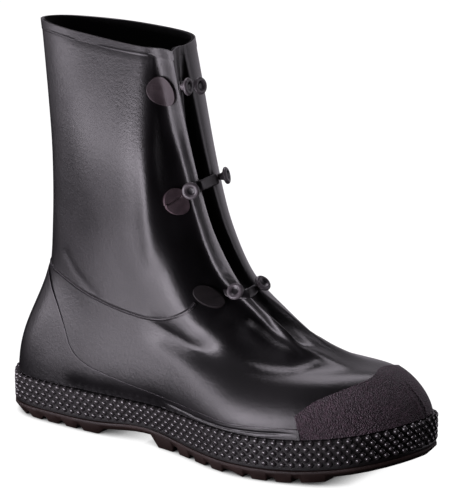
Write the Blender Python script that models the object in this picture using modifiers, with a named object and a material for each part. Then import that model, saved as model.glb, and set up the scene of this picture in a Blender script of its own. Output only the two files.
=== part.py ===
"""Buttoned rubber overboot for a right foot, standing empty on its sole.

Frame: X runs from heel to toe, Y to the wearer's left (the medial side), Z up.
The origin is on the floor under the middle of the sole. Sizes below are in
millimetres and become metres only where a mesh is made.
"""
import math
from collections import namedtuple

import bmesh
import bpy
import numpy as np
from mathutils import Matrix, Vector

MM = 0.001

# Driving sizes of the boot
SOLE_LENGTH = 325.0
GAP = 0.3
SOLE_GAP = 0.5
WALL = 2.4
BAND_THICK = 2.3
LIP_STEP = 0.8
LIP_HEIGHT = 9.0
ARCH_RISE = 4.3
ARCH_AT = 0.40
ARCH_SPREAD = 0.09
TOE_SPRING = 14.0
SPRING_FROM = 0.72
LAST_CURVE = 8.7
CURVE_FROM = 0.50

# Sections of the upper, from the sole's edge to the collar. Each lies between a back
# point and the crest of the front fold; "_lat" and "_med" are half widths on the outer
# and inner side of the foot, "_at" is a place along the section from back to front,
# "arch" and "spring" are shares of the sole's own rise that the section follows,
# "dip" lowers the section's flanks, "set_back" is how far the inner ridge of the front pleat
# lies behind the outer one, "fold" is how far the valley between them goes in, and
# "valley_med" is how far the valley lies towards the inner side.
Section = namedtuple(
    "Section",
    "name back_x back_z front_x front_z dip arch spring quarter rear_lat rear_med mid_lat mid_med"
    " corner_at corner_lat corner_med hollow_at hollow_lat hollow_med ridge_lat ridge_med"
    " set_back fold valley_med",
)
SECTIONS = [
    Section("feather", -159.6, 9.5, 153.4, 9.5, 0, 1, 1, .82, 41.2, 43.0, 41.4, 38.4,
            .69, 58.0, 55.0, .918, 40.4, 37.4, 18, 18, 0, -6.2, 0),
    Section("band_top", -159.8, 29, 153.4, 29.5, 0, 0, 1, .82, 41.4, 43.2, 42.4, 39.8,
            .69, 58.0, 55.2, .918, 40.4, 37.4, 18, 18, 0, -6.2, 0),
    Section("toe_wall", -158.6, 44, 149, 48, 5, 0, .5, .82, 41.2, 42.0, 43.0, 41.5,
            .69, 56.5, 54.0, .918, 40, 37, 17, 17, 0, -5.4, 0),
    Section("toe_shoulder", -154.6, 59, 140, 63, 10, 0, 0, .81, 40.2, 40.4, 42.6, 41.6,
            .69, 52.5, 51.0, .915, 37, 35, 16, 16, 0, -4.6, 0),
    Section("toe_crown", -148.2, 73, 127.5, 70, 10, 0, 0, .80, 38.8, 38.6, 41.4, 41.0,
            .69, 47.0, 46.0, .910, 32, 30, 14, 14, 0, -3.5, 0),
    Section("vamp_front", -141.6, 86, 108, 71, 8, 0, 0, .79, 37.2, 37.0, 40.2, 39.8,
            .70, 42.0, 41.5, .900, 25, 24, 13, 13, 0, -2.0, 0),
    Section("vamp", -136.4, 97, 83, 79, 5, 0, 0, .77, 35.6, 35.4, 39.0, 38.6,
            .735, 38.0, 38.4, .905, 17, 19, 12.5, 9, 1.5, 3.0, 0),
    Section("waist", -132.8, 107, 58.5, 93, 2, 0, 0, .75, 34.4, 34.4, 38.0, 38.0,
            .755, 36.5, 37.0, .910, 14.5, 21, 13, 5, 2.5, 7.0, -2),
    Section("instep", -130.6, 119, 34, 109, 0, 0, 0, .74, 33.6, 33.6, 37.5, 38.0,
            .765, 36.0, 37.0, .905, 14, 20.5, 14, 3, 3.5, 10.5, -3),
    Section("ankle", -129.4, 135, 16, 133, 0, 0, 0, .73, 32.8, 32.6, 38.0, 38.5,
            .77, 36.5, 37.5, .900, 14.5, 23, 14.5, 2.5, 3, 12.5, -3),
    Section("throat", -128.8, 159, 2.5, 159, 0, 0, 0, .71, 31.8, 31.6, 39.0, 39.5,
            .78, 37.5, 38.5, .897, 15.5, 25, 15, 2.5, 2.5, 12.5, -3),
    Section("shaft", -130.2, 193, -8, 193, 0, 0, 0, .68, 29.6, 30.5, 38.5, 39.5,
            .785, 37.0, 38.5, .892, 16.5, 26.5, 15.5, 2.5, 2.5, 11.5, -3.5),
    Section("upper_shaft", -137.2, 230, -16.5, 226, 0, 0, 0, .64, 24.0, 29.0, 31.0, 38.5,
            .79, 31.0, 37.5, .900, 16.8, 27.5, 16, 3, 2.5, 10.0, -3.5),
    Section("collar", -146.4, 275, -24.5, 268, 0, 0, 0, .54, 15.5, 25.5, 19.5, 35.0,
            .80, 22.0, 35.0, .905, 18.2, 25, 18, 4, 4, 5.0, -5),
]
TOP = len(SECTIONS) - 1
QUARTER_AT = 0.050
REAR_AT = 0.203
MID_AT = 0.458

# Stations round a section, back to back, with the mesh steps from each to the next
STATIONS = ["back", "quarter", "rear", "mid", "corner", "hollow", "ridge", "valley"]
STEPS = [3, 3, 5, 5, 4, 3, 3]
STRAIGHT_FROM = 10
HALF = len(STATIONS) - 1
FULL = 2 * HALF


def knots_of(points):
    """Running distance along a row of points, eased so that short steps stay smooth."""
    steps = np.linalg.norm(np.diff(points, axis=0), axis=1) ** 0.5
    return np.concatenate([[0.0], np.cumsum(steps)])


def smooth_at(points, knots, index, part):
    """Point at a part (0 to 1) of the stretch after `index`, on a curve through all points."""
    def slope(i):
        low, high = max(i - 1, 0), min(i + 1, len(points) - 1)
        if low == i or high == i:
            return (points[high] - points[low]) / (knots[high] - knots[low])
        before = (points[i] - points[low]) / (knots[i] - knots[low])
        after = (points[high] - points[i]) / (knots[high] - knots[i])
        share = (knots[i] - knots[low]) / (knots[high] - knots[low])
        return before * (1 - share) + after * share
    span = knots[index + 1] - knots[index]
    s = part
    return (points[index] * (1 + 2 * s) * (1 - s) ** 2
            + slope(index) * span * s * (1 - s) ** 2
            + points[index + 1] * s * s * (3 - 2 * s)
            - slope(index + 1) * span * s * s * (1 - s))


COLUMNS = np.array([row[1:] for row in SECTIONS])
ROW_KNOTS = knots_of(COLUMNS[:, :4])


def section_at(up):
    """Sizes of the section at a height given in sections, such as 2.5."""
    index = min(int(up), TOP - 1)
    return Section("", *smooth_at(COLUMNS, ROW_KNOTS, index, up - index))


def along_sole(x):
    """Share of the sole's length at x, 0 at the heel and 1 at the toe."""
    return x / SOLE_LENGTH + 0.5


def arch_rise(x):
    """How far the sole's upper face lifts at the arch."""
    return ARCH_RISE * math.exp(-((along_sole(x) - ARCH_AT) / ARCH_SPREAD) ** 2)


def toe_spring(x):
    """How far the sole curls up at the toe."""
    return TOE_SPRING * max((along_sole(x) - SPRING_FROM) / (1 - SPRING_FROM), 0.0) ** 2


def footbed_z(x):
    """Height of the outsole's upper face."""
    return LIP_HEIGHT + arch_rise(x) + toe_spring(x)


def last_curve(x):
    """Sideways bend of the foot towards the inner side at the toe."""
    return LAST_CURVE * max((along_sole(x) - CURVE_FROM) / (1 - CURVE_FROM), 0.0) ** 2


def station_points(section):
    """The fourteen stations of one section, from the back along the outer side."""
    run = section.front_x - section.back_x

    def place(at, half):
        x = section.back_x + run * at
        part = min(max(at, 0.0), 1.0)
        z = section.back_z + (section.front_z - section.back_z) * part
        z -= section.dip * math.sin(math.pi * part ** 1.3)
        return (x, last_curve(x) + half, z)

    outer = [
        place(QUARTER_AT, -section.quarter * section.rear_lat),
        place(REAR_AT, -section.rear_lat),
        place(MID_AT, -section.mid_lat),
        place(section.corner_at, -section.corner_lat),
        place(section.hollow_at, -section.hollow_lat),
        place(1.0, -section.ridge_lat),
    ]
    inner = [
        place(QUARTER_AT, section.quarter * section.rear_med),
        place(REAR_AT, section.rear_med),
        place(MID_AT, section.mid_med),
        place(section.corner_at, section.corner_med),
        place(section.hollow_at, section.hollow_med),
        place(1.0 - section.set_back / run, section.ridge_med),
    ]
    back = place(0.0, 0.0)
    valley = place(1.0 - section.fold / run, section.valley_med)
    return np.array([back] + outer + [valley] + inner[::-1])


def wall(around, up):
    """Point on the outside of the upper; `around` counts stations, 0 and 14 at the back."""
    section = section_at(up)
    ring = station_points(section)
    closed = np.vstack([ring[-2:], ring, ring[:3]])
    around = around % FULL
    index = min(int(around), FULL - 1)
    point = smooth_at(closed, knots_of(closed), index + 2, around - index)
    point[2] += section.arch * arch_rise(point[0]) + section.spring * toe_spring(point[0])
    return point


def wall_normal(around, up):
    """Outward direction of the upper's wall."""
    step = 0.04
    low, high = max(up - step, 0.0), min(up + step, TOP)
    along = wall(around + step, up) - wall(around - step, up)
    rise = wall(around, high) - wall(around, low)
    out = np.cross(along, rise)
    return out / np.linalg.norm(out)


def off_wall(around, up, distance):
    """Point at a distance outside the upper's wall."""
    return wall(around, up) + wall_normal(around, up) * distance


def ring_steps():
    """Values of `around` for one full ring of the mesh."""
    half = [i + k / n for i, n in enumerate(STEPS) for k in range(n)]
    return half + [HALF] + [FULL - a for a in half[:0:-1]]


# Sole and band
OUTLINE_STEPS = 12
END_CLEAR = 0.15
NARROWEST_TREAD = 0.4
CLOSEST_MARKS = 0.9
LEAST_RUBBER = 2.8
LIP_THICK = 2.2
TREAD_INSET = 3.6
LUG_ROOT = 6.2
GROOVE_TOP = 3.4
GROOVE_ROOT = 2.0
HEEL_GROOVES = [-137.0, -121.0, -105.0, -89.0]
FORE_GROOVES = [-4.0, 13.0, 30.0, 47.0, 64.0, 81.0, 98.0]
HEEL_BREAST = -73.0
FORE_START = -21.0
FORE_END = 116.0
BREAST_SLOPE = 5.0
SHANK_THICK = 5.4
TOE_STEP = 3.0
ARCH_PITCH = 6.5
INSOLE_THICK = 2.0
INSOLE_CLEAR = 0.9
INSOLE_UP = 0.06
KICK_LEDGE = 1.2
KICK_REACH = 0.5
# Section of the band, from its foot up: height in sections, distance beyond its face, share of the ledge
BandRow = namedtuple("BandRow", "up beyond ledge")
BAND_ROWS = [BandRow(0.0, 0.5, 0), BandRow(0.10, 0.5, 0), BandRow(0.14, 0, 0), BandRow(0.86, 0, 0.3),
             BandRow(0.90, 0, 1), BandRow(0.98, -0.9, 1)]

# Overlays
OVERLAY = 1.2
OVERLAY_GAP = 0.45
OVERLAY_FROM = 1.04
CAP_ROWS = 8
COUNTER_ROWS = 6
COLLAR_FROM = 12.86
COLLAR_THICK = 0.6
LIP_HALF_WIDTH = 1.3
LIP_GAP = 0.6
LIP_CROWN = 0.2
LIP_LOWER = 0.3
LIP_UPPER = 0.7
KNOT = 1.6
KNOT_REACH = 0.35

# Upper edge of the toe cap: station from the toe's middle, height in sections
Edge = namedtuple("Edge", "around up")
CAP_EDGE = [Edge(0.0, 4.30), Edge(0.5, 4.20), Edge(0.85, 3.95), Edge(1.2, 3.72), Edge(1.55, 3.50),
            Edge(1.85, 3.30), Edge(2.1, 3.06), Edge(2.3, 2.74), Edge(2.46, 2.1)]
# Upper edge of the heel counter and, further forward, of the foxing along the foot:
# station from the back, height in sections
COUNTER_EDGE = [Edge(0.0, 7.15), Edge(0.86, 7.05), Edge(1.18, 6.42), Edge(1.57, 5.17),
                Edge(1.87, 3.76), Edge(2.04, 2.66), Edge(2.2, 2.42), Edge(2.57, 2.04),
                Edge(2.89, 1.76), Edge(3.14, 1.60), Edge(3.81, 1.42), Edge(4.14, 1.47), Edge(4.52, 1.50)]
COUNTER_FINE = [5 / 6, 7 / 6, 3 / 2, 11 / 6]
# Lip where the lower part laps the shaft, from the back seam to the third closure
LIP_LINE = [Edge(0.0, 7.42), Edge(0.8, 7.36), Edge(1.59, 7.05), Edge(2.13, 6.58), Edge(2.58, 6.39),
            Edge(3.13, 6.35), Edge(3.41, 6.57), Edge(3.72, 7.02), Edge(4.12, 7.62)]

# Closures: where disc, near stud and far stud sit on the wall, how far the near stud
# leans to the front, and how long the far stud's neck is
Closure = namedtuple(
    "Closure", "disc_around disc_up disc_radius near_around near_up lean far_around far_up far_neck")
CLOSURES = [
    Closure(4.98, 12.34, 10.2, 5.82, 12.46, 30, 8.0, 12.36, 4.0),
    Closure(4.68, 10.26, 9.5, 5.58, 10.60, 30, 8.35, 10.60, 4.6),
    Closure(4.45, 7.80, 9.5, 5.52, 8.05, 5, 8.0, 8.02, 4.0),
]
DISC_THICK = 2.2
DISC_GAP = 0.7
DISC_SIDES = 18
DISC_RINGS = (0.55, 1.0)
STUD_NECK = 2.4
NECK_FLARE = 0.3
STUD_HEAD_THICK = 3.2
STUD_SIDES = 12
# Face of a stud's head from its middle out and round its rim: radius, distance below its top
HeadRow = namedtuple("HeadRow", "radius drop")
HEAD_ROWS = [HeadRow(0.0, 1.6), HeadRow(2.5, 1.2), HeadRow(3.7, 0.0), HeadRow(5.5, 0.2), HeadRow(6.4, 1.4),
             HeadRow(5.8, 3.0)]
NEAR_NECK = 3.6
FAR_STAND = 0.9
STRAP_LIFT = 1.2
STRAP_CLEAR = 3.6
STRAP_END = 1.3
STRAP_THICK = 1.8
STRAP_HALF = 3.8
# Section of a strap: share of its half width, share of its thickness
STRAP_SECTION = [(-1, 0), (1, 0), (1, 0.6), (0.8, 1), (-0.8, 1), (-1, 0.6)]
STRAP_STEPS = 16
STRAP_SAMPLES = 96
SHARP_ANGLE = math.radians(40)
PROBE = 0.1


def edge_up(edge, around):
    """Height of an edge at a station, between the rows of its table."""
    return float(np.interp(around, [e.around for e in edge], [e.up for e in edge]))


def outline_at(distance, up=0.0):
    """Plan of the upper grown by a distance: functions for the outer and inner edge at x."""
    arounds = np.linspace(0, HALF, HALF * OUTLINE_STEPS + 1)
    outer = np.array([off_wall(a, up, distance) for a in arounds])
    inner = np.array([off_wall(FULL - a, up, distance) for a in arounds])
    low, high = outer[0, 0], outer[-1, 0]

    def edges(x):
        return np.interp(x, outer[:, 0], outer[:, 1]), np.interp(x, inner[:, 0], inner[:, 1])

    return edges, low, high


# Mesh helpers
PARTS = "overboot"


def start_scene():
    """Empty the scene and add the collection that holds the boot."""
    for old in list(bpy.data.objects):
        bpy.data.objects.remove(old, do_unlink=True)
    group = bpy.data.collections.new(PARTS)
    bpy.context.scene.collection.children.link(group)
    return group


def finish(name, colour, roughness):
    """Principled material of one finish."""
    material = bpy.data.materials.new(name)
    material.use_nodes = True
    shader = material.node_tree.nodes["Principled BSDF"]
    shader.inputs["Base Color"].default_value = (*colour, 1.0)
    shader.inputs["Roughness"].default_value = roughness
    shader.inputs["Metallic"].default_value = 0.0
    return material


def add_object(group, name, mesh, material):
    """Object of the boot with its own material, shaded smooth."""
    mesh.materials.append(material)
    mesh.shade_smooth()
    mesh.set_sharp_from_angle(angle=SHARP_ANGLE)
    piece = bpy.data.objects.new(name, mesh)
    group.objects.link(piece)
    return piece


def loft(name, rows, ring=False, capped=False, looped=False):
    """Mesh of quads through rows of points in millimetres.

    With `ring` each row closes on itself; with `capped` the first and last row get a face;
    with `looped` the last row joins the first.
    """
    mesh = bpy.data.meshes.new(name)
    shape = bmesh.new()
    verts = [[shape.verts.new(Vector(point) * MM) for point in row] for row in rows]
    columns = len(verts[0])
    if looped:
        verts.append(verts[0])
    for below, above in zip(verts, verts[1:]):
        for j in range(columns if ring else columns - 1):
            k = (j + 1) % columns
            shape.faces.new([below[j], below[k], above[k], above[j]])
    if capped:
        shape.faces.new(verts[0])
        shape.faces.new(verts[-1])
    if capped or looped:
        bmesh.ops.recalc_face_normals(shape, faces=shape.faces)
    shape.to_mesh(mesh)
    shape.free()
    return mesh


def thicken(piece, thickness, offset):
    """Solid wall from an open surface; offset -1 grows inwards and 1 outwards."""
    shell = piece.modifiers.new("wall", "SOLIDIFY")
    shell.thickness = thickness * MM
    shell.offset = offset
    shell.use_even_offset = True
    shell.use_rim = True


def build_upper(group, material):
    """One hollow wall from the sole to the collar, with the pleated front."""
    ups = list(np.arange(0, STRAIGHT_FROM, 0.5)) + list(range(STRAIGHT_FROM, TOP + 1))
    rings = [[wall(a, up) for a in ring_steps()] for up in ups]
    upper = add_object(group, "upper", loft("upper", rings, ring=True), material)
    thicken(upper, WALL, -1.0)


def tread_z(x):
    """Height of the tread under the sole, without its grooves."""
    if x < HEEL_BREAST:
        return 0.0
    if x < FORE_START:
        edge = min(x - HEEL_BREAST, FORE_START - x)
        shank = footbed_z(x) - SHANK_THICK
        return shank * min(edge / BREAST_SLOPE, 1.0)
    if x > FORE_END:
        return toe_spring(x) + TOE_STEP * min((x - FORE_END) / BREAST_SLOPE, 1.0)
    return toe_spring(x)


def build_outsole(group, material):
    """Tread with heel, arch, toe spring, cross lugs and the lip that carries the band."""
    top_edges, low, high = outline_at(GAP + BAND_THICK + LIP_STEP)
    mid = (low + high) / 2
    reach = (high - low) / 2
    foot_scale = (reach - TREAD_INSET) / reach
    marks = {mid + reach * math.sin(math.radians(d)) for d in range(-90, 91, 6)}
    marks.update(np.arange(HEEL_BREAST, FORE_START, ARCH_PITCH))
    for groove in HEEL_GROOVES + FORE_GROOVES:
        marks.update([groove - GROOVE_TOP, groove - GROOVE_ROOT, groove + GROOVE_ROOT, groove + GROOVE_TOP])
    for step in (HEEL_BREAST, FORE_START - BREAST_SLOPE, FORE_END):
        marks.update([step, step + BREAST_SLOPE])

    def tread_at(x):
        root = footbed_z(x) - LUG_ROOT
        for groove in HEEL_GROOVES + FORE_GROOVES:
            if abs(x - groove) < GROOVE_TOP - 1e-6:
                return root
        return tread_z(x)

    def crowded(x, kept):
        return any(abs(x - k) < CLOSEST_MARKS for k in kept)

    kept = []
    for x in sorted(marks, key=lambda m: (abs(abs(m - mid) - reach) > 1e-6, m)):
        if not crowded(x, kept):
            kept.append(x)
    sections = []
    for x in sorted(kept):
        inset_x = mid + (x - mid) * foot_scale
        nearest = min(max(x, low + END_CLEAR), high - END_CLEAR)
        lateral, medial = top_edges(nearest)
        middle = (lateral + medial) / 2
        half = (medial - lateral) / 2
        tread_half = max(half - TREAD_INSET, NARROWEST_TREAD * half)
        top = footbed_z(x)
        tread = min(tread_at(x), top - LEAST_RUBBER)
        sections.append([
            (x, lateral, top), (x, medial, top), (x, medial, top - LIP_THICK),
            (inset_x, middle + tread_half, tread), (inset_x, middle - tread_half, tread),
            (x, lateral, top - LIP_THICK),
        ])
    add_object(group, "outsole", loft("outsole", sections, ring=True, capped=True), material)


def build_insole(group, material):
    """Thin sheet that lies on the outsole inside the upper."""
    edges, low, high = outline_at(-WALL - INSOLE_CLEAR, up=INSOLE_UP)
    mid = (low + high) / 2
    reach = (high - low) / 2
    sections = []
    ends = [mid + reach * math.sin(math.radians(d)) for d in range(-86, 87, 6)]
    for x in sorted(ends + list(np.arange(HEEL_BREAST, FORE_START, ARCH_PITCH))):
        lateral, medial = edges(x)
        low_z = footbed_z(x) + SOLE_GAP
        high_z = low_z + INSOLE_THICK
        sections.append([(x, lateral, low_z), (x, medial, low_z), (x, medial, high_z), (x, lateral, high_z)])
    add_object(group, "insole", loft("insole", sections, ring=True, capped=True), material)


def on_sole(point):
    """The same place in plan, just clear of the outsole's upper face."""
    return np.array([point[0], point[1], footbed_z(point[0]) + SOLE_GAP])


def build_band(group, material):
    """Rubber strip round the lower edge, with a bead at its foot and a kick ledge at the heel."""
    sections = []
    for a in ring_steps():
        ledge = KICK_LEDGE * max(1 - min(a, FULL - a) / KICK_REACH, 0.0)
        face = [off_wall(a, row.up, GAP + BAND_THICK + row.beyond + ledge * row.ledge) for row in BAND_ROWS]
        back = [off_wall(a, up, GAP) for up in (1.0, 0.5, 0.0)]
        sections.append([on_sole(face[0])] + face[1:] + back[:-1] + [on_sole(back[-1])])
    band = loft("foxing_band", sections, ring=True, looped=True)
    add_object(group, "foxing_band", band, material)


def overlay(group, name, columns, span, rows, material):
    """Layer on the wall: for each station the heights from span(station), in equal rows."""
    grid = []
    for row in range(rows + 1):
        line = []
        for a in columns:
            low, high = span(a)
            line.append(off_wall(a, low + (high - low) * row / rows, OVERLAY_GAP))
        grid.append(line)
    piece = add_object(group, name, loft(name, grid), material)
    thicken(piece, OVERLAY, 1.0)


def build_toe_cap(group, material):
    """Cap over the toe, from the band to its shaped upper edge."""
    reach = CAP_EDGE[-1].around
    columns = [a for a in ring_steps() if abs(a - HALF) < reach - 0.05]
    columns = [HALF - reach] + columns + [HALF + reach]

    def span(a):
        return OVERLAY_FROM, edge_up(CAP_EDGE, abs(a - HALF))

    overlay(group, "toe_cap", columns, span, CAP_ROWS, material)


def build_counter(group, material):
    """Heel counter that runs forward on both sides as a low foxing, up to the toe cap."""
    reach = COUNTER_EDGE[-1].around
    plain = [a for a in ring_steps() if a < reach - PROBE]
    side = sorted(plain + COUNTER_FINE + [reach])
    columns = [-a for a in side[:0:-1]] + side

    def span(a):
        return OVERLAY_FROM, edge_up(COUNTER_EDGE, abs(a))

    overlay(group, "counter_foxing", columns, span, COUNTER_ROWS, material)


def build_lip(group, material):
    """Raised lip where the lower part laps the shaft, round the back from side to side."""
    reach = LIP_LINE[-1].around
    steps = [a for a in ring_steps() if a < reach - 0.05] + [reach]
    path = [(-a, edge_up(LIP_LINE, a)) for a in steps[:0:-1]] + [(a, edge_up(LIP_LINE, a)) for a in steps]
    points = np.array([wall(a, up) for a, up in path])
    rows = []
    for i, (a, up) in enumerate(path):
        low, high = max(i - 1, 0), min(i + 1, len(path) - 1)
        along = points[high] - points[low]
        out = wall_normal(a, up)
        across = np.cross(along, out)
        across *= LIP_HALF_WIDTH / np.linalg.norm(across)
        raised = LIP_GAP + OVERLAY + KNOT * max(1 - abs(a) / KNOT_REACH, 0.0)
        heights = [(1, LIP_GAP), (1, raised - LIP_LOWER), (0, raised + LIP_CROWN), (-1, raised - LIP_UPPER),
                   (-1, LIP_GAP)]
        rows.append([points[i] + across * side + out * height for side, height in heights])
    add_object(group, "quarter_lip", loft("quarter_lip", rows, ring=True, capped=True), material)


def build_collar(group, material):
    """Hem round the top edge."""
    rows = [[off_wall(a, up, OVERLAY_GAP) for a in ring_steps()] for up in (COLLAR_FROM, TOP)]
    hem = add_object(group, "collar_band", loft("collar_band", rows, ring=True), material)
    thicken(hem, COLLAR_THICK, 1.0)


def build_disc(group, name, closure, per_around, material):
    """Rubber disc that follows the wall at the outer end of a closure."""
    centre_a, centre_up = closure.disc_around, closure.disc_up
    rise = wall(centre_a, centre_up + PROBE) - wall(centre_a, centre_up - PROBE)
    per_up = np.linalg.norm(rise) / (2 * PROBE)
    mesh = bpy.data.meshes.new(name)
    shape = bmesh.new()
    rings = []
    for share in DISC_RINGS:
        ring = []
        for step in range(DISC_SIDES):
            turn = 2 * math.pi * step / DISC_SIDES
            a = centre_a + closure.disc_radius * share * math.cos(turn) / per_around
            up = centre_up + closure.disc_radius * share * math.sin(turn) / per_up
            ring.append(shape.verts.new(Vector(off_wall(a, up, DISC_GAP)) * MM))
        rings.append(ring)
    middle = shape.verts.new(Vector(off_wall(centre_a, centre_up, DISC_GAP)) * MM)
    for j in range(DISC_SIDES):
        k = (j + 1) % DISC_SIDES
        shape.faces.new([middle, rings[0][j], rings[0][k]])
        for inner, outer in zip(rings, rings[1:]):
            shape.faces.new([inner[j], outer[j], outer[k], inner[k]])
    shape.to_mesh(mesh)
    shape.free()
    disc = add_object(group, name, mesh, material)
    thicken(disc, DISC_THICK, 1.0)


def build_stud(group, name, point, out, rise, neck, material):
    """Turned button: neck and dimpled head, standing at a point along a direction."""
    head_top = neck + STUD_HEAD_THICK
    profile = [(row.radius, head_top - row.drop) for row in HEAD_ROWS]
    profile += [(STUD_NECK, neck - NECK_FLARE), (STUD_NECK, 0.0), (0.0, 0.0)]
    mesh = bpy.data.meshes.new(name)
    shape = bmesh.new()
    verts = [shape.verts.new((r * MM, 0.0, h * MM)) for r, h in profile]
    for first, second in zip(verts, verts[1:]):
        shape.edges.new([first, second])
    bmesh.ops.spin(shape, geom=shape.verts[:] + shape.edges[:], cent=(0, 0, 0), axis=(0, 0, 1),
                   angle=2 * math.pi, steps=STUD_SIDES)
    bmesh.ops.remove_doubles(shape, verts=shape.verts, dist=0.00001)
    bmesh.ops.recalc_face_normals(shape, faces=shape.faces)
    shape.to_mesh(mesh)
    shape.free()
    stud = add_object(group, name, mesh, material)
    turn = Matrix((np.cross(rise, out), rise, out)).transposed().to_4x4()
    stud.matrix_world = Matrix.Translation(Vector(point) * MM) @ turn


def taut_path(start_a, closure):
    """Line of a strap pulled tight over the wall, from the disc's edge to the far stud.

    Returns its points, the outward directions there, the direction of its width, and
    the share of its length at which the near stud sits.
    """
    arounds = np.linspace(start_a, closure.far_around, STRAP_SAMPLES)
    marks = [closure.disc_around, closure.near_around, closure.far_around]
    ups = np.interp(arounds, marks, [closure.disc_up, closure.near_up, closure.far_up])
    points = np.array([off_wall(a, up, STRAP_LIFT) for a, up in zip(arounds, ups)])
    forward = points[-1] - points[0]
    forward /= np.linalg.norm(forward)
    out = wall_normal(HALF - 1, closure.near_up) + wall_normal(HALF + 1, closure.far_up)
    out -= forward * out.dot(forward)
    out /= np.linalg.norm(out)
    rise = np.cross(out, forward)
    along, height, drift = ((points - points[0]) @ axis for axis in (forward, out, rise))
    hull = []
    for i in np.argsort(along):
        while len(hull) > 1:
            first, last = hull[-2:]
            straight = (height[i] - height[first]) * (along[last] - along[first])
            if (height[last] - height[first]) * (along[i] - along[first]) > straight:
                break
            hull.pop()
        hull.append(i)
    end = along[-1] - STUD_NECK - STRAP_END
    stops = np.linspace(along[0], end, STRAP_STEPS + 1)
    heights = np.interp(stops, along[hull], height[hull])
    drifts = np.interp(stops, along[hull], drift[hull])
    line = points[0] + stops[:, None] * forward + heights[:, None] * out + drifts[:, None] * rise
    normals = np.cross(np.gradient(line, axis=0), rise)
    normals /= np.linalg.norm(normals, axis=1)[:, None]
    near = np.interp(closure.near_around, arounds, along) / end
    return line, normals, rise, float(near)


def build_closure(group, number, closure, material):
    """Disc, strap pulled over the front pleat, and the two buttons that hold it."""
    side, up = closure.disc_around, closure.disc_up
    per_around = np.linalg.norm(wall(side + PROBE, up) - wall(side - PROBE, up)) / (2 * PROBE)
    build_disc(group, f"anchor_disc_{number}", closure, per_around, material)
    line, normals, rise, near = taut_path(side + (closure.disc_radius + STRAP_CLEAR) / per_around, closure)
    sections = []
    for point, out in zip(line, normals):
        sections.append([point + rise * STRAP_HALF * w + out * STRAP_THICK * h for w, h in STRAP_SECTION])
    strap = loft(f"strap_{number}", sections, ring=True, capped=True)
    add_object(group, f"strap_{number}", strap, material)

    place = near * STRAP_STEPS
    index = min(int(place), STRAP_STEPS - 1)
    foot = line[index] + (line[index + 1] - line[index]) * (place - index)
    lean = math.radians(closure.lean)
    foot = foot + normals[index] * (STRAP_THICK + GAP + STUD_NECK * math.sin(lean))
    out = normals[index] * math.cos(lean) + np.cross(rise, normals[index]) * math.sin(lean)
    build_stud(group, f"near_stud_{number}", foot, out, rise, NEAR_NECK, material)

    out = wall_normal(closure.far_around, closure.far_up)
    foot = wall(closure.far_around, closure.far_up) + out * FAR_STAND
    rise = rise - out * rise.dot(out)
    rise /= np.linalg.norm(rise)
    build_stud(group, f"far_stud_{number}", foot, out, rise, closure.far_neck, material)


def main():
    group = start_scene()
    upper_rubber = finish("upper_rubber", (0.025, 0.023, 0.026), 0.38)
    sole_rubber = finish("sole_rubber", (0.016, 0.015, 0.016), 0.55)
    cap_rubber = finish("cap_rubber", (0.020, 0.018, 0.021), 0.7)
    button_rubber = finish("button_rubber", (0.03, 0.028, 0.03), 0.35)
    lining = finish("insole_sheet", (0.03, 0.03, 0.03), 0.9)
    build_outsole(group, sole_rubber)
    build_insole(group, lining)
    build_upper(group, upper_rubber)
    build_band(group, sole_rubber)
    build_toe_cap(group, cap_rubber)
    build_counter(group, upper_rubber)
    build_lip(group, upper_rubber)
    build_collar(group, upper_rubber)
    for number, closure in enumerate(CLOSURES, 1):
        build_closure(group, number, closure, button_rubber)


main()
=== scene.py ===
"""Looks of a buttoned rubber overboot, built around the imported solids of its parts."""
import math
from collections import namedtuple

import bmesh
import bpy
import numpy as np
from mathutils import Matrix, Vector
from mathutils.bvhtree import BVHTree


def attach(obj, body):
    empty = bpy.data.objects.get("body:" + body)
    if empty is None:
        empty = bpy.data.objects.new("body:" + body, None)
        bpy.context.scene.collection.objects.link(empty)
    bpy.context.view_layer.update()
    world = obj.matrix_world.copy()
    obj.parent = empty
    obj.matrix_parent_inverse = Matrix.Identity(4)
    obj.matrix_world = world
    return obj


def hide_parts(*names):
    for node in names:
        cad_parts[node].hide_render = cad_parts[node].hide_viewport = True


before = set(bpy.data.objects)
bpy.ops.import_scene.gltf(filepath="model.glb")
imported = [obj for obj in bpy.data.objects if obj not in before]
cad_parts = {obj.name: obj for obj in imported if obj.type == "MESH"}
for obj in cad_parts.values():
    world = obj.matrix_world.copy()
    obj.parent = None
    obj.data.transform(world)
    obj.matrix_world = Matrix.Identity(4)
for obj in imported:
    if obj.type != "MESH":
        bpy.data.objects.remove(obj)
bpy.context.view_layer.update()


# Outsole: one moulding of tough brown-black rubber with cross lugs, a low heel and a lip that
# carries the side band. Its edges are slightly rounded, as they come out of the mould.
MM = 0.001
MERGE_GAP = 0.02
SOLE_EDGE = 0.5
SOLE_TURN = 35
# The grain's share of the relief, and the part of the broad noise that shows as rubbed patches
GRAIN_SHARE = 0.35
PATCH_FROM = 0.42
PATCH_TO = 0.72
RELIEF = 0.8


def deselect_all():
    """Leave nothing selected before the next operator."""
    bpy.ops.object.select_all(action="DESELECT")


def select_only(piece):
    """Make a piece the only selected object, and the active one."""
    deselect_all()
    bpy.context.view_layer.objects.active = piece
    piece.select_set(True)


def take_copy(node, name):
    """New object with the merged mesh of a solid, as quads where its triangles pair up."""
    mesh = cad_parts[node].data.copy()
    mesh.materials.clear()
    piece = bpy.data.objects.new(name, mesh)
    bpy.context.scene.collection.objects.link(piece)
    select_only(piece)
    bpy.ops.object.mode_set(mode="EDIT")
    bpy.ops.mesh.select_all(action="SELECT")
    bpy.ops.mesh.remove_doubles(threshold=MERGE_GAP * MM)
    bpy.ops.mesh.tris_convert_to_quads(face_threshold=math.pi, shape_threshold=math.pi)
    bpy.ops.object.mode_set(mode="OBJECT")
    return piece


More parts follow.
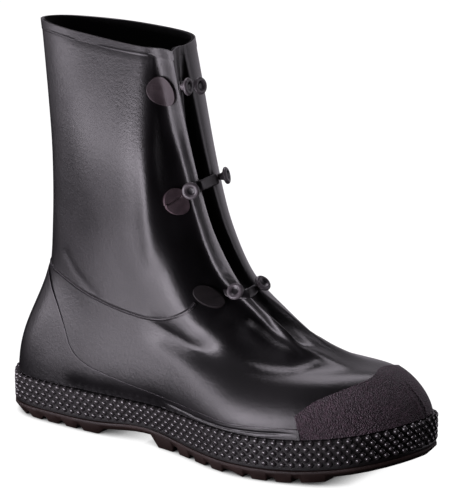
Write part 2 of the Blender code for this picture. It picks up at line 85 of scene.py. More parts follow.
def apply_modifier(piece, kind, **values):
    """Add a modifier with its values and apply it."""
    select_only(piece)
    modifier = piece.modifiers.new(kind.lower(), kind)
    for key, value in values.items():
        setattr(modifier, key, value)
    bpy.ops.object.modifier_apply(modifier=modifier.name)


def round_edges(piece, width, angle, paint=-1):
    """Round the edges that turn by more than an angle in degrees; `paint` is the rounding's material."""
    apply_modifier(piece, "BEVEL", width=width * MM, segments=2, limit_method="ANGLE",
                   angle_limit=math.radians(angle), use_clamp_overlap=True, material=paint)


def smooth(piece, angle):
    """Shade a piece smooth, with sharp edges kept above an angle in degrees."""
    select_only(piece)
    bpy.ops.object.shade_smooth_by_angle(angle=math.radians(angle))


def dress(piece, node, material):
    """Give a piece its material, unless it has one, and let it stand for its solid."""
    if not piece.data.materials:
        piece.data.materials.append(material)
    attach(piece, "root")
    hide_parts(node)


def grain_group():
    """Shader group: fine moulded grain, broad unevenness and dull rubbed patches of black rubber."""
    group = bpy.data.node_groups.new("moulded_grain", "ShaderNodeTree")
    face = group.interface
    face.new_socket("Place", in_out="INPUT", socket_type="NodeSocketVector")
    face.new_socket("Grain Size", in_out="INPUT", socket_type="NodeSocketFloat")
    face.new_socket("Patch Size", in_out="INPUT", socket_type="NodeSocketFloat")
    face.new_socket("Height", in_out="OUTPUT", socket_type="NodeSocketFloat")
    face.new_socket("Grain", in_out="OUTPUT", socket_type="NodeSocketFloat")
    face.new_socket("Patches", in_out="OUTPUT", socket_type="NodeSocketFloat")
    nodes, links = group.nodes, group.links
    given = nodes.new("NodeGroupInput")
    result = nodes.new("NodeGroupOutput")
    fine = nodes.new("ShaderNodeTexNoise")
    fine.inputs["Detail"].default_value = 4.0
    fine.inputs["Roughness"].default_value = 0.65
    broad = nodes.new("ShaderNodeTexNoise")
    broad.inputs["Detail"].default_value = 3.0
    patches = nodes.new("ShaderNodeMapRange")
    patches.inputs["From Min"].default_value = PATCH_FROM
    patches.inputs["From Max"].default_value = PATCH_TO
    height = nodes.new("ShaderNodeMath")
    height.operation = "MULTIPLY_ADD"
    height.inputs[1].default_value = GRAIN_SHARE
    for texture, size in ((fine, "Grain Size"), (broad, "Patch Size")):
        links.new(given.outputs["Place"], texture.inputs["Vector"])
        links.new(given.outputs[size], texture.inputs["Scale"])
    links.new(broad.outputs["Fac"], patches.inputs["Value"])
    links.new(fine.outputs["Fac"], height.inputs[0])
    links.new(broad.outputs["Fac"], height.inputs[2])
    links.new(height.outputs["Value"], result.inputs["Height"])
    links.new(fine.outputs["Fac"], result.inputs["Grain"])
    links.new(patches.outputs["Result"], result.inputs["Patches"])
    return group


GRAIN = grain_group()


def rubber(name, dark, pale, gloss, dull, grain_size, patch_size, bump):
    """Rubber with a colour between two values, a roughness between two values, and grain as bump.

    Both sizes are scales of noise in 1/m. The nodes that later sections add to have names.
    """
    material = bpy.data.materials.new(name)
    material.use_nodes = True
    nodes, links = material.node_tree.nodes, material.node_tree.links
    shader = nodes["Principled BSDF"]
    place = nodes.new("ShaderNodeTexCoord")
    place.name = "Place"
    grain = nodes.new("ShaderNodeGroup")
    grain.node_tree = GRAIN
    grain.name = "Grain"
    grain.inputs["Grain Size"].default_value = grain_size
    grain.inputs["Patch Size"].default_value = patch_size
    links.new(place.outputs["Object"], grain.inputs["Place"])
    colour = nodes.new("ShaderNodeMix")
    colour.name = "Colour"
    colour.data_type = "RGBA"
    colour.inputs["A"].default_value = (*dark, 1.0)
    colour.inputs["B"].default_value = (*pale, 1.0)
    links.new(grain.outputs["Patches"], colour.inputs["Factor"])
    links.new(colour.outputs["Result"], shader.inputs["Base Color"])
    half_grain = nodes.new("ShaderNodeMath")
    half_grain.operation = "MULTIPLY"
    half_grain.inputs[1].default_value = 0.5
    worn = nodes.new("ShaderNodeMath")
    worn.operation = "MULTIPLY_ADD"
    worn.inputs[1].default_value = 0.5
    rough = nodes.new("ShaderNodeMapRange")
    rough.name = "Rough"
    rough.inputs["To Min"].default_value = gloss
    rough.inputs["To Max"].default_value = dull
    links.new(grain.outputs["Grain"], half_grain.inputs[0])
    links.new(grain.outputs["Patches"], worn.inputs[0])
    links.new(half_grain.outputs["Value"], worn.inputs[2])
    links.new(worn.outputs["Value"], rough.inputs["Value"])
    links.new(rough.outputs["Result"], shader.inputs["Roughness"])
    relief = nodes.new("ShaderNodeBump")
    relief.name = "Relief"
    relief.inputs["Strength"].default_value = bump
    relief.inputs["Distance"].default_value = RELIEF * MM
    links.new(grain.outputs["Height"], relief.inputs["Height"])
    links.new(relief.outputs["Normal"], shader.inputs["Normal"])
    return material


sole_rubber = rubber("tread_rubber", dark=(0.020, 0.010, 0.008), pale=(0.034, 0.017, 0.014),
                     gloss=0.5, dull=0.75, grain_size=900, patch_size=40, bump=0.4)
outsole = take_copy("outsole", "tread")
round_edges(outsole, SOLE_EDGE, SOLE_TURN)
smooth(outsole, SOLE_TURN)
dress(outsole, "outsole", sole_rubber)


# Insole: a thin matt sheet, cut to the footbed, that lies loose on the outsole.
# It stays the solid itself and only gets its material.
insole_sheet = rubber("insole_rubber", dark=(0.02, 0.02, 0.02), pale=(0.035, 0.034, 0.034),
                      gloss=0.75, dull=0.95, grain_size=700, patch_size=60, bump=0.4)
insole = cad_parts["insole"]
insole.data.materials.clear()
insole.data.materials.append(insole_sheet)


# Upper: one moulded wall of satin black rubber, vamp and shaft in one. The front is folded
# into two rounded ridges with a valley between, and the vamp creases where the foot bends.
# The inner faces are a dull black lining.
WALL_TURN = 60
WALL_LEVELS = 2
WALL_EDGE = 0.4
# A fold goes out or in by its depth at a line through points, and fades over its width to both
# sides and over a share of the line at both ends. It goes along the wall's own normals, or
# toward one direction where the wall turns a corner.
Fold = namedtuple("Fold", "name depth width points fade toward", defaults=(0.15, None))
UPPER_FOLDS = [
    Fold("panel edge", depth=1.6, width=6.5,
         points=[(-39, -20.5, 256), (-36.7, -23.7, 235), (-34.8, -28.7, 216), (-32.5, -34, 197),
                 (-31, -37.7, 177), (-30, -39, 157), (-27, -39, 137), (-22, -39, 117)]),
    Fold("near fold hollow", depth=-2.5, width=4.5,
         points=[(-25, -16.6, 221), (-22, -16.5, 208), (-19, -16.5, 195), (-14.3, -16, 181.6),
                 (-11.3, -15.7, 168), (-7, -15, 155), (-2, -15.4, 142), (5, -15.6, 128),
                 (13, -15.5, 117), (24, -15, 109), (34, -14, 102), (43, -14, 95), (52, -14, 88),
                 (62, -14.5, 83)]),
    Fold("bend facet", depth=3.4, width=7.5,
         points=[(28, -22, 98), (36, -21.5, 91), (43, -20, 85), (55, -18.3, 77), (66, -17.5, 76),
                 (76, -17, 74.5), (84, -17, 73)],
         fade=0.3, toward=(0.43, -0.62, 0.655)),
    Fold("bend crease", depth=0.9, width=2.0,
         points=[(37.7, -37, 72.7), (48, -37, 70.5), (60.7, -35.8, 69.7), (72.5, -32.3, 69.5),
                 (81, -27, 69), (88, -18.5, 71), (91, -1.4, 76)]),
    Fold("fold valley", depth=-5.0, width=4.0,
         points=[(38, -3, 102), (53, -3.4, 93), (71, -6, 84.7), (84, -6.5, 79)], fade=0.3),
    Fold("near fold crest", depth=0.7, width=2.5,
         points=[(48, -12.7, 96), (63.6, -12.2, 86), (77, -13, 79), (85, -13.7, 75.2)]),
    Fold("far fold crest", depth=0.7, width=2.5,
         points=[(33, 4.4, 107), (45, 8.4, 98.5), (62, 7, 89.3), (78, 7.2, 81), (84.4, 6.7, 78)]),
    Fold("ankle trough", depth=-2.6, width=9.0,
         points=[(-38, -39, 86), (-18, -39, 80), (2, -40.4, 76), (20, -41, 74), (40, -40, 68)], fade=0.3),
    Fold("ankle crease", depth=-0.6, width=2.2,
         points=[(-32, -39, 88), (-12, -39, 81), (6, -40.4, 76), (20, -41, 74)]),
    Fold("ankle swell", depth=0.5, width=7.0,
         points=[(-4, -40, 80), (11, -40, 84), (23, -34.5, 88.7), (30.4, -22, 93.8)]),
    Fold("waist tuck", depth=-1.7, width=7.0,
         points=[(-104, -40.5, 29), (-85, -42, 29), (-68, -42, 29), (-50, -43, 29), (-30, -43, 29),
                 (-8, -45, 28)]),
    Fold("back crease", depth=-0.4, width=2.5,
         points=[(-108, -31, 125.5), (-94.5, -34, 110.5), (-82, -36, 101), (-69.5, -37.5, 94.5)]),
    Fold("lap end", depth=0.8, width=2.5,
         points=[(6.5, -23, 113), (9.2, -15.5, 118), (15.4, -14, 124)]),
    Fold("inner bend hollow", depth=-2.4, width=9.0, points=[(42, 30, 80), (58, 26, 80), (76, 17, 78)]),
    Fold("inner bend crease", depth=1.4, width=4.0, points=[(44, 38, 69), (62, 34, 69), (82, 25, 70)]),
    Fold("inner ankle trough", depth=-1.6, width=8.0, points=[(-34, 39, 84), (-10, 41, 79), (14, 41, 73)]),
    Fold("ankle back crease", depth=-1.0, width=7.0,
         points=[(-126, 12, 128), (-122, 24, 124), (-108, 31, 122)]),
]
SPACING = 1.0
LINE_ROUNDS = 8
NORMAL_ROUNDS = 6
# A fold is left off beyond this many widths from its line
FOLD_REACH = 3
# Middle of the hollow that the inner faces look at: straight up in the shaft, and along the foot
# below it, where its front end draws back with the instep
SHAFT_FROM = 120.0
FOOT_MIDDLE = 45.0
HEEL_MIDDLE = -110.0
INSTEP_HEIGHTS = (70.0, 130.0)
INSTEP_FRONTS = (100.0, -60.0)
LINING_BLACK = (0.002, 0.002, 0.002)


def read_points(piece):
    """Vertex places of a piece in millimetres."""
    coords = np.zeros(len(piece.data.vertices) * 3)
    piece.data.vertices.foreach_get("co", coords)
    return coords.reshape(-1, 3) / MM


def write_points(piece, points):
    """Set the vertex places of a piece from millimetres."""
    piece.data.vertices.foreach_set("co", (points * MM).ravel())
    piece.data.update()


def face_tree(piece):
    """Search tree over the faces of a finished piece."""
    return BVHTree.FromObject(piece, bpy.context.evaluated_depsgraph_get())


def keep_sharp(piece, angle):
    """Crease the edges that turn by more than an angle in degrees, so that subdividing keeps them."""
    shape = bmesh.new()
    shape.from_mesh(piece.data)
    crease = shape.edges.layers.float.new("crease_edge")
    for edge in shape.edges:
        if len(edge.link_faces) == 2 and edge.calc_face_angle() > math.radians(angle):
            edge[crease] = 1.0
    shape.to_mesh(piece.data)
    shape.free()


def run_lengths(points):
    """Distance along a line of points from its start to each of them."""
    return np.concatenate([[0], np.cumsum(np.linalg.norm(np.diff(points, axis=0), axis=1))])


def ease(line, rounds):
    """Draw each inner point of a line towards its neighbours, a number of times."""
    for _ in range(rounds):
        line[1:-1] = (line[:-2] + 2 * line[1:-1] + line[2:]) / 4


def spaced(points):
    """Evenly spaced points along a line through given points, eased round its corners."""
    points = np.array(points, float)
    lengths = run_lengths(points)
    stops = np.linspace(0, lengths[-1], max(int(lengths[-1] / SPACING), 2))
    line = np.stack([np.interp(stops, lengths, points[:, i]) for i in range(3)], axis=1)
    ease(line, LINE_ROUNDS)
    return line


def lay_line(fold, tree):
    """Points of a fold's line on the surface of a tree, and the direction to move in at each."""
    line = spaced(fold.points)
    if fold.toward:
        outward = np.tile(np.array(fold.toward, float), (len(line), 1))
    else:
        outward = np.zeros_like(line)
        for i, point in enumerate(line):
            found, normal, _, _ = tree.find_nearest(Vector(point) * MM)
            line[i] = np.array(found) / MM
            outward[i] = normal
    ease(outward, NORMAL_ROUNDS)
    return line, outward / np.linalg.norm(outward, axis=1)[:, None]


def press_folds(piece, folds, tree):
    """Move a piece in or out along each fold, most at its line and fading sideways and at its ends.

    The lines are laid on the surface of `tree`, so that layers follow the wall below them.
    """
    coords = read_points(piece)
    moved = coords.copy()
    for fold in folds:
        line, outward = lay_line(fold, tree)
        reach = FOLD_REACH * fold.width
        low, high = line.min(axis=0) - reach, line.max(axis=0) + reach
        near = np.nonzero(((coords > low) & (coords < high)).all(axis=1))[0]
        if not len(near):
            continue
        gaps = np.linalg.norm(coords[near, None, :] - line[None, :, :], axis=2)
        nearest = gaps.argmin(axis=1)
        share = nearest / (len(line) - 1)
        fade = np.clip(np.minimum(share, 1 - share) / fold.fade, 0, 1)
        fade = fade * fade * (3 - 2 * fade)
        amount = fold.depth * np.exp(-(gaps.min(axis=1) / fold.width) ** 2) * fade
        moved[near] += outward[nearest] * amount[:, None]
    write_points(piece, moved)


def mark_inside(piece):
    """Attribute that is 1 on the faces that look into the boot and 0 on the outer ones."""
    points = read_points(piece)
    normals = np.zeros(len(points) * 3)
    piece.data.vertices.foreach_get("normal", normals)
    middle = np.zeros_like(points)
    front = np.interp(points[:, 2], INSTEP_HEIGHTS, INSTEP_FRONTS)
    middle[:, 0] = np.clip(points[:, 0], HEEL_MIDDLE, front)
    middle[:, 2] = np.where(points[:, 2] > SHAFT_FROM, points[:, 2], FOOT_MIDDLE)
    facing = (normals.reshape(-1, 3) * (middle - points)).sum(axis=1)
    mark = piece.data.attributes.new("inside", "FLOAT", "POINT")
    mark.data.foreach_set("value", (facing > 0).astype(float))


def add_lining(material):
    """Turn the faces marked by the attribute "inside" into dull black lining."""
    nodes, links = material.node_tree.nodes, material.node_tree.links
    shader = nodes["Principled BSDF"]
    inside = nodes.new("ShaderNodeAttribute")
    inside.attribute_name = "inside"
    colour = nodes.new("ShaderNodeMix")
    colour.data_type = "RGBA"
    colour.inputs["B"].default_value = (*LINING_BLACK, 1.0)
    dulled = nodes.new("ShaderNodeMath")
    dulled.operation = "MAXIMUM"
    links.new(inside.outputs["Fac"], colour.inputs["Factor"])
    links.new(nodes["Colour"].outputs["Result"], colour.inputs["A"])
    links.new(colour.outputs["Result"], shader.inputs["Base Color"])
    links.new(inside.outputs["Fac"], dulled.inputs[0])
    links.new(nodes["Rough"].outputs["Result"], dulled.inputs[1])
    links.new(dulled.outputs["Value"], shader.inputs["Roughness"])


upper_rubber = rubber("upper_rubber", dark=(0.003, 0.0027, 0.0032), pale=(0.006, 0.0053, 0.0062),
                      gloss=0.28, dull=0.4, grain_size=480, patch_size=22, bump=0.5)
add_lining(upper_rubber)
upper = take_copy("upper", "upper_wall")
keep_sharp(upper, WALL_TURN)
apply_modifier(upper, "SUBSURF", levels=WALL_LEVELS, render_levels=WALL_LEVELS)
wall_tree = face_tree(upper)
press_folds(upper, UPPER_FOLDS, wall_tree)
round_edges(upper, WALL_EDGE, WALL_TURN)
mark_inside(upper)
smooth(upper, WALL_TURN)
dress(upper, "upper", upper_rubber)


# Heel counter with its low foxing, quarter lip and collar hem: thin layers of the same rubber,
# laid on the wall before curing, so that their edges show as low steps. Their rounded edges are
# painted pale grey as a painted highlight line.
LAYER_TURN = 50
COUNTER_LEVELS = 3
COUNTER_SUNK = 1.05
COUNTER_EDGE = 0.5
# The foxing's front end is drawn forward under the toe cap
FOXING_FRONT = 85.0
FOXING_TUCK = 3.0
FOXING_FOLDS = [
    Fold("foxing line", depth=-0.5, width=0.8,
         points=[(-20, -44.5, 36.2), (-6, -45.5, 33.8), (18, -52, 31.8), (42, -57.5, 31.4), (70, -57, 32.8),
                 (95, -51, 35)]),
]
LIP_LEVELS = 3
LIP_SUNK = 0.75
LIP_EDGE = 0.25
LIP_SHARE = 0.6
HEM_LEVELS = 4
HEM_SUNK = 0.7
HEM_EDGE = 0.15
HEM_FOLDS = [
    Fold("outer hem line", depth=-0.45, width=0.7,
         points=[(-146, -3, 269.5), (-140, -9, 269.3), (-122, -16, 268.5), (-98.5, -20.5, 266.2),
                 (-80.5, -22, 265.6), (-58.5, -23.5, 265), (-40.5, -20.5, 264), (-29, -19, 263)]),
]
# The hem's way to the wall is read this far below it, clear of the rim's top
BELOW_RIM = 6.0
LEAST_SIDEWAYS = 0.2


def sink(piece, depth, level=False):
    """Move a layer towards the wall by a distance, so that it lies on it; sideways only if `level`."""
    points = read_points(piece)
    below = Vector((0, 0, BELOW_RIM if level else 0.0))
    for i, point in enumerate(points):
        _, normal, _, _ = wall_tree.find_nearest((Vector(point) - below) * MM)
        inward = -np.array(normal)
        if level:
            inward[2] = 0.0
            inward /= max(np.linalg.norm(inward), LEAST_SIDEWAYS)
        points[i] = point + inward * depth
    write_points(piece, points)


def layer(node, name, levels, depth, rubbers, edge=0.0, level=False):
    """Layer on the wall from its solid: laid on it and folded with it.

    `rubbers` are the materials of its face and of its edges, which are rounded by `edge`.
    """
    piece = take_copy(node, name)
    for material in rubbers:
        piece.data.materials.append(material)
    keep_sharp(piece, LAYER_TURN)
    apply_modifier(piece, "SUBSURF", levels=levels, render_levels=levels)
    sink(piece, depth, level)
    press_folds(piece, UPPER_FOLDS, wall_tree)
    if edge:
        round_edges(piece, edge, LAYER_TURN, paint=1)
    return piece


def flatten(piece, share):
    """Keep only a share of how far a layer stands off the wall."""
    points = read_points(piece)
    for i, point in enumerate(points):
        found, normal, _, _ = wall_tree.find_nearest(Vector(point) * MM)
        gap = float(np.dot(point - np.array(found) / MM, np.array(normal)))
        if gap > 0:
            points[i] = point + np.array(normal) * gap * (share - 1)
    write_points(piece, points)


def draw_forward(piece, start, distance):
    """Stretch the part of a piece in front of a place, its tip by a distance."""
    points = read_points(piece)
    beyond = np.clip((points[:, 0] - start) / (points[:, 0].max() - start), 0, 1)
    points[:, 0] += beyond * distance
    write_points(piece, points)


# Pale grey rubber for the rounded edges of these layers: a painted highlight along each edge.
edge_highlight_rubber = rubber("edge_highlight_rubber", dark=(0.17, 0.155, 0.17), pale=(0.26, 0.235, 0.26),
                       gloss=0.3, dull=0.45, grain_size=900, patch_size=60, bump=0.3)
layer_rubbers = (upper_rubber, edge_highlight_rubber)
counter = layer("counter_foxing", "heel_counter", COUNTER_LEVELS, COUNTER_SUNK, layer_rubbers, COUNTER_EDGE)
press_folds(counter, FOXING_FOLDS, face_tree(counter))
draw_forward(counter, FOXING_FRONT, FOXING_TUCK)
smooth(counter, WALL_TURN)
dress(counter, "counter_foxing", upper_rubber)

lip = layer("quarter_lip", "ankle_lip", LIP_LEVELS, LIP_SUNK, layer_rubbers, LIP_EDGE)
flatten(lip, LIP_SHARE)
smooth(lip, WALL_TURN)
dress(lip, "quarter_lip", upper_rubber)

hem = layer("collar_band", "collar_hem", HEM_LEVELS, HEM_SUNK, layer_rubbers, HEM_EDGE, level=True)
press_folds(hem, HEM_FOLDS, face_tree(hem))
smooth(hem, WALL_TURN)
dress(hem, "collar_band", upper_rubber)


# Toe cap: a thicker layer of matt rubber with a pebbled face, laid over the toe of the wall
# before curing, with a double rib down its middle.
CAP_LEVELS = 4
CAP_SUNK = 0.6
# Cells of the pebble in 1/m, and their share of the relief
PEBBLE_SIZE = 1000
PEBBLE_SHARE = 1.5
CAP_FOLDS = [
    Fold("near rib", depth=0.8, width=1.0,
         points=[(143, 3.4, 68), (152, 1.8, 61), (159, 2.8, 50), (163, 3.6, 38)]),
    Fold("far rib", depth=0.8, width=1.0,
         points=[(143, 8.4, 68), (152, 6.8, 61), (159, 7.8, 50), (163, 8.6, 38)]),
]


def add_pebble(material):
    """Add a pattern of low rounded cells to the relief of a rubber."""
    nodes, links = material.node_tree.nodes, material.node_tree.links
    cells = nodes.new("ShaderNodeTexVoronoi")
    cells.inputs["Scale"].default_value = PEBBLE_SIZE
    knobs = nodes.new("ShaderNodeMath")
    knobs.operation = "MULTIPLY_ADD"
    knobs.inputs[1].default_value = -PEBBLE_SHARE
    links.new(nodes["Place"].outputs["Object"], cells.inputs["Vector"])
    links.new(cells.outputs["Distance"], knobs.inputs[0])
    links.new(nodes["Grain"].outputs["Height"], knobs.inputs[2])
    links.new(knobs.outputs["Value"], nodes["Relief"].inputs["Height"])


cap_rubber = rubber("pebbled_rubber", dark=(0.024, 0.013, 0.019), pale=(0.065, 0.037, 0.052),
                    gloss=0.5, dull=0.75, grain_size=900, patch_size=420, bump=0.7)
add_pebble(cap_rubber)
cap = layer("toe_cap", "toe_cap_layer", CAP_LEVELS, CAP_SUNK, [cap_rubber])
press_folds(cap, CAP_FOLDS, face_tree(cap))
smooth(cap, WALL_TURN)
dress(cap, "toe_cap", cap_rubber)


# Side band: a rubber strip wrapped round the lower edge, moulded with rows of small
# staggered studs. The studs are one joined mesh that sits in the strip's face.
BAND_TURN = 22
BAND_SMOOTH = 30
BAND_LEVELS = 2
BAND_EDGE = 0.25
band_rubber = rubber("band_rubber", dark=(0.003, 0.002, 0.002), pale=(0.006, 0.005, 0.005),
                     gloss=0.42, dull=0.6, grain_size=900, patch_size=40, bump=0.3)
band = take_copy("foxing_band", "side_band")
keep_sharp(band, BAND_TURN)
apply_modifier(band, "SUBSURF", levels=BAND_LEVELS, render_levels=BAND_LEVELS)
round_edges(band, BAND_EDGE, BAND_TURN)
smooth(band, BAND_SMOOTH)
dress(band, "foxing_band", band_rubber)

SOLE_LENGTH = 325.0
BAND_FOOT = 9.5
BAND_RISE = 19.8
BAND_MIDDLE = 0.5
# Lift of the sole under the arch and at the toe; places along it are shares of its length
ARCH_LIFT = 4.3
ARCH_AT = 0.40
ARCH_SPREAD = 0.09
TOE_SPRING = 14.0
SPRING_FROM = 0.72
STUD_ROWS = 5
STUD_FROM = 0.10
STUD_TO = 1.0
STUDS_ROUND = 120
# Section of one stud from its foot to its top: half width, height above the band's face
STUD_SECTION = [(2.4, -0.5), (2.1, 0.5), (1.5, 1.2), (0.7, 1.5)]
STUD_CORNERS = 8
STUD_WAIST = 0.85
STUD_SMOOTH = 70
OUTSIDE = 300.0
OUTLINE_STEPS = 1080
# Steps round the boot and up the band over which the directions at a stud are taken
TURN_STEP = 0.01
RISE_STEP = 0.1
band_tree = face_tree(band)


def sole_lift(x, up):
    """How far arch and toe spring lift the band at x; the arch fades out up the band."""
    along = x / SOLE_LENGTH + 0.5
    arch = ARCH_LIFT * math.exp(-((along - ARCH_AT) / ARCH_SPREAD) ** 2)
    spring = TOE_SPRING * max((along - SPRING_FROM) / (1 - SPRING_FROM), 0.0) ** 2
    return arch * (1 - up) + spring


def band_face(angle, up):
    """Point of the band's face at an angle round the boot and a share of the band's height."""
    inward = np.array([-math.cos(angle), -math.sin(angle), 0.0])
    x = -inward[0] * SOLE_LENGTH / 2
    for share in (BAND_MIDDLE, BAND_MIDDLE, up, up):
        z = BAND_FOOT + BAND_RISE * share + sole_lift(x, share)
        start = Vector((-inward[0] * OUTSIDE, -inward[1] * OUTSIDE, z)) * MM
        found, _, _, _ = band_tree.ray_cast(start, Vector(inward))
        x = found.x / MM
    return np.array(found) / MM


def stud_corners(angle, up):
    """Corners of one stud, ring by ring from its foot to its top."""
    centre = band_face(angle, up)
    ahead = band_face(angle + TURN_STEP, BAND_MIDDLE) - band_face(angle - TURN_STEP, BAND_MIDDLE)
    above = band_face(angle, BAND_MIDDLE + RISE_STEP) - band_face(angle, BAND_MIDDLE - RISE_STEP)
    ahead /= np.linalg.norm(ahead)
    out = np.cross(ahead, above)
    out /= np.linalg.norm(out)
    above = np.cross(out, ahead)
    corners = []
    for half, height in STUD_SECTION:
        for corner in range(STUD_CORNERS):
            turn = 2 * math.pi * corner / STUD_CORNERS
            reach = half * (STUD_WAIST if corner % 2 else 1.0)
            across = ahead * math.cos(turn) + above * math.sin(turn)
            corners.append(tuple((centre + across * reach + out * height) * MM))
    return corners


def stud_sides(base):
    """Faces of one stud whose corners are counted from a base: its sides, its top and its foot."""
    ring = range(STUD_CORNERS)
    sides = []
    for first in range(base, base + (len(STUD_SECTION) - 1) * STUD_CORNERS, STUD_CORNERS):
        for corner in ring:
            after = (corner + 1) % STUD_CORNERS
            sides.append([first + corner, first + after, first + STUD_CORNERS + after,
                          first + STUD_CORNERS + corner])
    top = base + (len(STUD_SECTION) - 1) * STUD_CORNERS
    sides.append([top + corner for corner in ring])
    sides.append([base + corner for corner in reversed(ring)])
    return sides


sweep = np.linspace(0, 2 * math.pi, OUTLINE_STEPS + 1)
run = run_lengths(np.array([band_face(angle, BAND_MIDDLE) for angle in sweep]))
stud_points = []
stud_faces = []
for row in range(STUD_ROWS):
    up = STUD_FROM + (STUD_TO - STUD_FROM) * (row + 0.5) / STUD_ROWS
    for step in range(STUDS_ROUND):
        at = (step + 0.5 * (row % 2)) / STUDS_ROUND * run[-1]
        stud_faces += stud_sides(len(stud_points))
        stud_points += stud_corners(np.interp(at, run, sweep), up)
stud_mesh = bpy.data.meshes.new("band_studs")
stud_mesh.from_pydata(stud_points, [], stud_faces)
studs = bpy.data.objects.new("band_studs", stud_mesh)
bpy.context.scene.collection.objects.link(studs)
smooth(studs, STUD_SMOOTH)
# The studs get a paler rubber than the band as a painted highlight, so that they show as light dots.
stud_highlight_rubber = rubber("stud_highlight_rubber", dark=(0.035, 0.031, 0.033), pale=(0.05, 0.045, 0.047),
                     gloss=0.15, dull=0.28, grain_size=900, patch_size=60, bump=0.2)
stud_highlight_rubber.node_tree.nodes["Principled BSDF"].inputs["Specular IOR Level"].default_value = 1.0
stud_mesh.materials.append(stud_highlight_rubber)
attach(studs, "root")


# Closures: three times a disc on the wall, a strap pulled over the front fold and two turned
# buttons, all of moulded rubber. The straps are black. The buttons are painted grey as a painted
# highlight, the hollow in their end is painted black as painted shade, and the discs are lit and
# shaded copies of one rubber. The middle disc has a cut for the strap's end.
DISC_LEVELS = 4
DISC_SUNK = 0.8
STRAP_LEVELS = 2
BUTTON_LEVELS = 3
DIMPLE_SHADE_REACH = 2.6
SHAFT_MIDDLE = -80.0
# Painted light: how bright each disc's rubber is made, from the top one down, so that the discs
# show as lit and shaded copies of one rubber
DISC_LIGHT_TONES = (0.7, 1.5, 0.2)
DISC_DARK = np.array([0.035, 0.024, 0.028])
DISC_PALE = np.array([0.06, 0.042, 0.048])
DISC_FOLDS = {
    1: [],
    2: [Fold("cut", depth=-1.3, width=0.8,
             points=[(-18.6, -33, 166.8), (-16, -26, 169), (-12.5, -20, 172.2)]),
        Fold("hole", depth=-1.5, width=1.6,
             points=[(-20, -33.6, 166.4), (-18.6, -33, 166.8), (-17.3, -31.5, 167.2)])],
    3: [],
}


def button_axis(points):
    """Axis of a turned button, pointing away from the shaft, and its middle."""
    middle = (points.max(axis=0) + points.min(axis=0)) / 2
    _, turns = np.linalg.eigh(np.cov((points - middle).T))
    spread = np.var((points - middle) @ turns, axis=0)
    odd = np.argmax([abs(spread[i] - (spread.sum() - spread[i]) / 2) for i in range(3)])
    axis = turns[:, odd]
    away = middle - np.array([SHAFT_MIDDLE, 0.0, middle[2]])
    return axis * np.sign(axis @ away), middle


def paint_dimple_shade(piece, material):
    """Second, black material on the hollow in the outer end of a turned button, as painted shade."""
    axis, middle = button_axis(read_points(piece))
    piece.data.materials.append(material)
    for face in piece.data.polygons:
        offset = np.array(face.center) / MM - middle
        along = offset @ axis
        if along > 0 and np.linalg.norm(offset - along * axis) < DIMPLE_SHADE_REACH:
            face.material_index = 1


# Grey for the buttons: a painted highlight on their lit rings and faces.
button_rubber = rubber("button_rubber", dark=(0.06, 0.053, 0.058), pale=(0.10, 0.09, 0.096),
                       gloss=0.3, dull=0.45, grain_size=900, patch_size=120, bump=0.25)
strap_rubber = rubber("strap_rubber", dark=(0.006, 0.005, 0.006), pale=(0.012, 0.010, 0.012),
                      gloss=0.3, dull=0.45, grain_size=900, patch_size=120, bump=0.25)
# Each disc's colour is scaled by its share of painted light.
for number, light_share in enumerate(DISC_LIGHT_TONES, 1):
    disc_rubber = rubber(f"disc_{number}_rubber", dark=DISC_DARK * light_share, pale=DISC_PALE * light_share,
                         gloss=0.55, dull=0.7, grain_size=900, patch_size=160, bump=0.35)
    disc = layer(f"anchor_disc_{number}", f"anchor_disc_{number}_rubber", DISC_LEVELS, DISC_SUNK,
                 [disc_rubber])
    press_folds(disc, DISC_FOLDS[number], face_tree(disc))
    smooth(disc, WALL_TURN)
    dress(disc, f"anchor_disc_{number}", disc_rubber)
    strap = take_copy(f"strap_{number}", f"strap_{number}_rubber")
    apply_modifier(strap, "SUBSURF", levels=STRAP_LEVELS, render_levels=STRAP_LEVELS)
    smooth(strap, WALL_TURN)
    dress(strap, f"strap_{number}", strap_rubber)
    for node in ("near_stud", "far_stud"):
        button = take_copy(f"{node}_{number}", f"{node}_{number}_rubber")
        apply_modifier(button, "SUBSURF", levels=BUTTON_LEVELS, render_levels=BUTTON_LEVELS)
        button.data.materials.append(button_rubber)
        # The hollow in each button's end is painted black as painted shade.
        paint_dimple_shade(button, strap_rubber)
        smooth(button, WALL_TURN)
        dress(button, f"{node}_{number}", button_rubber)


# Stage: a white floor that runs into a white surround. The floor glows so that it stays white,
# dims close under the sole as a contact shade, and throws no light back on the boot.
FLOOR_SIZE = 8.0
FLOOR_GREY = (0.16, 0.16, 0.16)
WHITE = (1.0, 1.0, 1.0)
# Reach of the contact shade in metres, and the open shares at which the floor is black and white
SHADE_REACH = 0.012
SHADE_BLACK = 0.05
SHADE_WHITE = 0.5
SURROUND_TINT = (1.0, 0.97, 1.0)
SURROUND_ON_BOOT = 0.008
deselect_all()
bpy.ops.mesh.primitive_plane_add(size=FLOOR_SIZE, location=(0, 0, 0))
floor = bpy.context.active_object
floor.name = "floor"
floor_paint = bpy.data.materials.new("floor_paint")
floor_paint.use_nodes = True
floor_nodes, floor_links = floor_paint.node_tree.nodes, floor_paint.node_tree.links
paint = floor_nodes["Principled BSDF"]
paint.inputs["Base Color"].default_value = (*FLOOR_GREY, 1.0)
paint.inputs["Roughness"].default_value = 1.0
paint.inputs["Specular IOR Level"].default_value = 0.0
paint.inputs["Emission Color"].default_value = (*WHITE, 1.0)
open_share = floor_nodes.new("ShaderNodeAmbientOcclusion")
open_share.inputs["Distance"].default_value = SHADE_REACH
glow = floor_nodes.new("ShaderNodeMapRange")
glow.inputs["From Min"].default_value = SHADE_BLACK
glow.inputs["From Max"].default_value = SHADE_WHITE
floor_links.new(open_share.outputs["AO"], glow.inputs["Value"])
floor_links.new(glow.outputs["Result"], paint.inputs["Emission Strength"])
floor.data.materials.append(floor_paint)
floor.visible_glossy = False
floor.visible_diffuse = False

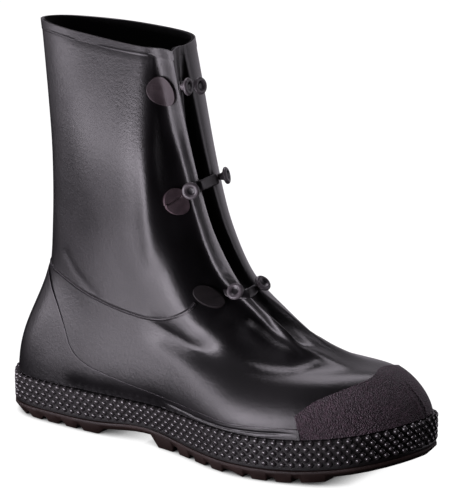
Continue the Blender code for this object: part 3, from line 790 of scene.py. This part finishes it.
world = bpy.data.worlds.new("studio")
bpy.context.scene.world = world
world.use_nodes = True
sky_nodes, sky_links = world.node_tree.nodes, world.node_tree.links
surround = sky_nodes["Background"]
surround.inputs["Color"].default_value = (*SURROUND_TINT, 1.0)
surround.inputs["Strength"].default_value = SURROUND_ON_BOOT
white = sky_nodes.new("ShaderNodeBackground")
white.inputs["Strength"].default_value = 1.0
choose = sky_nodes.new("ShaderNodeMixShader")
seen = sky_nodes.new("ShaderNodeLightPath")
sky_links.new(seen.outputs["Is Camera Ray"], choose.inputs["Fac"])
sky_links.new(surround.outputs["Background"], choose.inputs[1])
sky_links.new(white.outputs["Background"], choose.inputs[2])
sky_links.new(choose.outputs["Shader"], sky_nodes["World Output"].inputs["Surface"])


# Lights: low screens and glowing floor cards on the boot's outer side make its long highlights,
# and soft boxes above and screens behind lift the toe, the collar and the far edge.
LIGHT_TINT = (0.97, 0.90, 1.0)


def soft_light(name, place, target, size, power):
    """Rectangular area light at a place, turned to a target, in metres and watts."""
    data = bpy.data.lights.new(name, "AREA")
    data.shape = "RECTANGLE"
    data.size, data.size_y = size
    data.energy = power
    data.color = LIGHT_TINT
    light = bpy.data.objects.new(name, data)
    light.location = place
    light.rotation_mode = "QUATERNION"
    light.rotation_quaternion = (Vector(target) - Vector(place)).to_track_quat("-Z", "Y")
    light.visible_camera = False
    bpy.context.scene.collection.objects.link(light)


soft_light("left_screen", place=(-0.806, -1.265, 0.22), target=(0, 0, 0.22), size=(2.30, 0.44), power=17)
soft_light("edge_screen", place=(-0.388, -1.449, 0.22), target=(0, 0, 0.22), size=(0.70, 0.44), power=6)
soft_light("rear_screen", place=(-1.494, -0.131, 0.20), target=(0, 0, 0.20), size=(0.80, 0.60), power=0.8)
soft_light("near_floor_card", place=(-0.075, -0.60, 0.003), target=(-0.075, -0.60, 1.0),
           size=(0.45, 0.80), power=7)
soft_light("far_floor_card", place=(-0.625, -0.80, 0.003), target=(-0.625, -0.80, 1.0),
           size=(0.65, 1.10), power=1.2)
soft_light("high_softbox", place=(-0.487, -0.695, 0.95), target=(0, 0, 0.1), size=(1.10, 1.10), power=1.0)
soft_light("top_softbox", place=(-0.35, 0.45, 1.25), target=(0, 0, 0.1), size=(0.80, 0.80), power=8)
soft_light("back_screen", place=(-0.39, 1.45, 0.35), target=(0, 0, 0.30), size=(2.40, 1.20), power=5)
soft_light("right_screen", place=(1.10, 0.90, 0.45), target=(0, 0, 0.15), size=(0.90, 1.10), power=4.5)


# Camera: the photograph's view, from the boot's outer front and a little above, with a long lens.
AZIMUTH = math.radians(34.91)
ELEVATION = math.radians(15.5)
DISTANCE = 2.0
AIM = Vector((0.0, 0.0, 0.150))
SHIFT_RIGHT = 0.00469
SHIFT_DOWN = 0.017
FOCAL_LENGTH = 215.6
SENSOR_WIDTH = 36.0
back = Vector((math.sin(AZIMUTH) * math.cos(ELEVATION), -math.cos(AZIMUTH) * math.cos(ELEVATION),
               math.sin(ELEVATION)))
right = Vector((math.cos(AZIMUTH), math.sin(AZIMUTH), 0.0))
camera_up = back.cross(right)
lens = bpy.data.cameras.new("camera")
lens.lens = FOCAL_LENGTH
lens.sensor_width = SENSOR_WIDTH
camera = bpy.data.objects.new("camera", lens)
camera_place = AIM + back * DISTANCE + right * SHIFT_RIGHT - camera_up * SHIFT_DOWN
camera_turn = Matrix((right, camera_up, back)).transposed().to_4x4()
camera.matrix_world = Matrix.Translation(camera_place) @ camera_turn
bpy.context.scene.collection.objects.link(camera)
bpy.context.scene.camera = camera
bpy.context.scene.view_settings.view_transform = "Standard"
